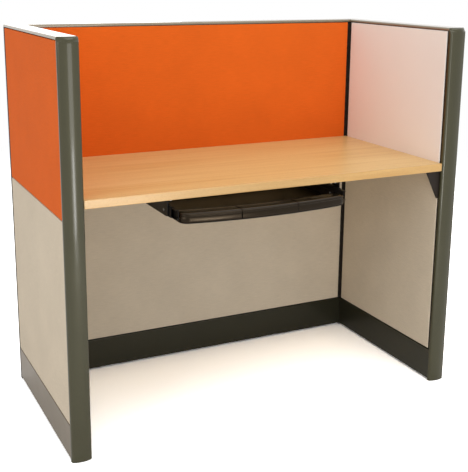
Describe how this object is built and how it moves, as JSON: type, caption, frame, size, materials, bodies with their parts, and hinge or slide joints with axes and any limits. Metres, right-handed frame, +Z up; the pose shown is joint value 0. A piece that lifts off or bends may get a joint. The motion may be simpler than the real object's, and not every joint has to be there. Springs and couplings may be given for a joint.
{
  "type": "cubicle workstation",
  "caption": "U-shaped cubicle of tiled panels with dark metal trims round a wooden worktop, with a pull-out keyboard tray on slides under its front edge.",
  "frame": {"origin": "on the floor, midway between the sides and midway between the keyboard tray's front edge and the back panel's rear face, in the rest pose", "axes": "+X along the back panel towards the right panel seen from the open front, +Y towards the back panel, +Z up"},
  "size_m": [1.32, 0.7097, 1.2],
  "materials": {
    "cover_paint": "satin",
    "foot_plastic": "black",
    "frame_steel": "satin",
    "pad_rubber": "soft matt",
    "slide_steel": "black",
    "tile_beige": "matt woven",
    "tile_orange": "matt woven",
    "tile_white": "white laminate on board",
    "tray_plastic": "fine grain",
    "trim_paint": "satin",
    "worktop_beech": "beech laminate on board",
    "zinc_steel": "zinc plated"
  },
  "bodies": {
    "frame": {"back_frame_rails": "frame_steel", "back_frame_uprights": "frame_steel", "back_inner_base_cover": "cover_paint", "back_inner_lower_tile": "tile_beige", "back_inner_upper_tile": "tile_orange", "back_outer_base_cover": "cover_paint", "back_outer_lower_tile": "tile_beige", "back_outer_upper_tile": "tile_orange", "back_top_cap": "trim_paint", "corner_caps": "trim_paint", "end_trim_caps": "trim_paint", "foot_sockets": "foot_plastic", "frame_bolts": "zinc_steel", "hanger_rivets": "zinc_steel", "left_corner_post": "trim_paint", "left_end_trim": "trim_paint", "left_frame_rails": "frame_steel", "left_frame_uprights": "frame_steel", "left_front_bracket": "trim_paint", "left_inner_base_cover": "cover_paint", "left_inner_lower_tile": "tile_beige", "left_inner_upper_tile": "tile_orange", "left_outer_base_cover": "cover_paint", "left_outer_lower_tile": "tile_beige", "left_outer_upper_tile": "tile_orange", "left_rear_bracket": "trim_paint", "left_slide_outer": "slide_steel", "left_top_cap": "trim_paint", "left_tray_hangers": "slide_steel", "right_corner_post": "trim_paint", "right_end_trim": "trim_paint", "right_frame_rails": "frame_steel", "right_frame_uprights": "frame_steel", "right_front_bracket": "trim_paint", "right_inner_base_cover": "cover_paint", "right_inner_lower_tile": "tile_beige", "right_inner_upper_tile": "tile_white", "right_outer_base_cover": "cover_paint", "right_outer_lower_tile": "tile_beige", "right_outer_upper_tile": "tile_orange", "right_rear_bracket": "trim_paint", "right_slide_outer": "slide_steel", "right_top_cap": "trim_paint", "right_tray_hangers": "slide_steel", "worktop": "worktop_beech", "worktop_edge_band": "worktop_beech", "worktop_screws": "zinc_steel"},
    "keyboard_tray_body": {"keyboard_tray": "tray_plastic", "palm_pads": "pad_rubber", "left_slide_inner": "slide_steel", "right_slide_inner": "slide_steel", "tray_rivets": "zinc_steel"},
    "left_slide_middle_body": {"left_slide_middle": "slide_steel"},
    "right_slide_middle_body": {"right_slide_middle": "slide_steel"},
    "left_front_foot_body": {"left_front_foot": "zinc_steel"},
    "left_rear_foot_body": {"left_rear_foot": "zinc_steel"},
    "right_front_foot_body": {"right_front_foot": "zinc_steel"},
    "right_rear_foot_body": {"right_rear_foot": "zinc_steel"},
    "back_left_foot_body": {"back_left_foot": "zinc_steel"},
    "back_right_foot_body": {"back_right_foot": "zinc_steel"}
  },
  "joints": [
    {"name": "tray_slide", "type": "slide", "parent": "frame", "child": "keyboard_tray_body", "axis": [0, -1, 0], "range_m": [-0.06, 0.27]},
    {"name": "left_middle_slide", "type": "slide", "parent": "frame", "child": "left_slide_middle_body", "axis": [0, -1, 0], "range_m": [-0.03, 0.135]},
    {"name": "right_middle_slide", "type": "slide", "parent": "frame", "child": "right_slide_middle_body", "axis": [0, -1, 0], "range_m": [-0.03, 0.135]},
    {"name": "left_front_foot_screw", "type": "slide", "parent": "frame", "child": "left_front_foot_body", "axis": [0, 0, -1], "range_m": [0, 0.02]},
    {"name": "left_rear_foot_screw", "type": "slide", "parent": "frame", "child": "left_rear_foot_body", "axis": [0, 0, -1], "range_m": [0, 0.02]},
    {"name": "right_front_foot_screw", "type": "slide", "parent": "frame", "child": "right_front_foot_body", "axis": [0, 0, -1], "range_m": [0, 0.02]},
    {"name": "right_rear_foot_screw", "type": "slide", "parent": "frame", "child": "right_rear_foot_body", "axis": [0, 0, -1], "range_m": [0, 0.02]},
    {"name": "back_left_foot_screw", "type": "slide", "parent": "frame", "child": "back_left_foot_body", "axis": [0, 0, -1], "range_m": [0, 0.02]},
    {"name": "back_right_foot_screw", "type": "slide", "parent": "frame", "child": "back_right_foot_body", "axis": [0, 0, -1], "range_m": [0, 0.02]}
  ],
  "couplings": [
    {"joint": "left_middle_slide", "follows": "tray_slide", "ratio": 0.5},
    {"joint": "right_middle_slide", "follows": "tray_slide", "ratio": 0.5}
  ]
}
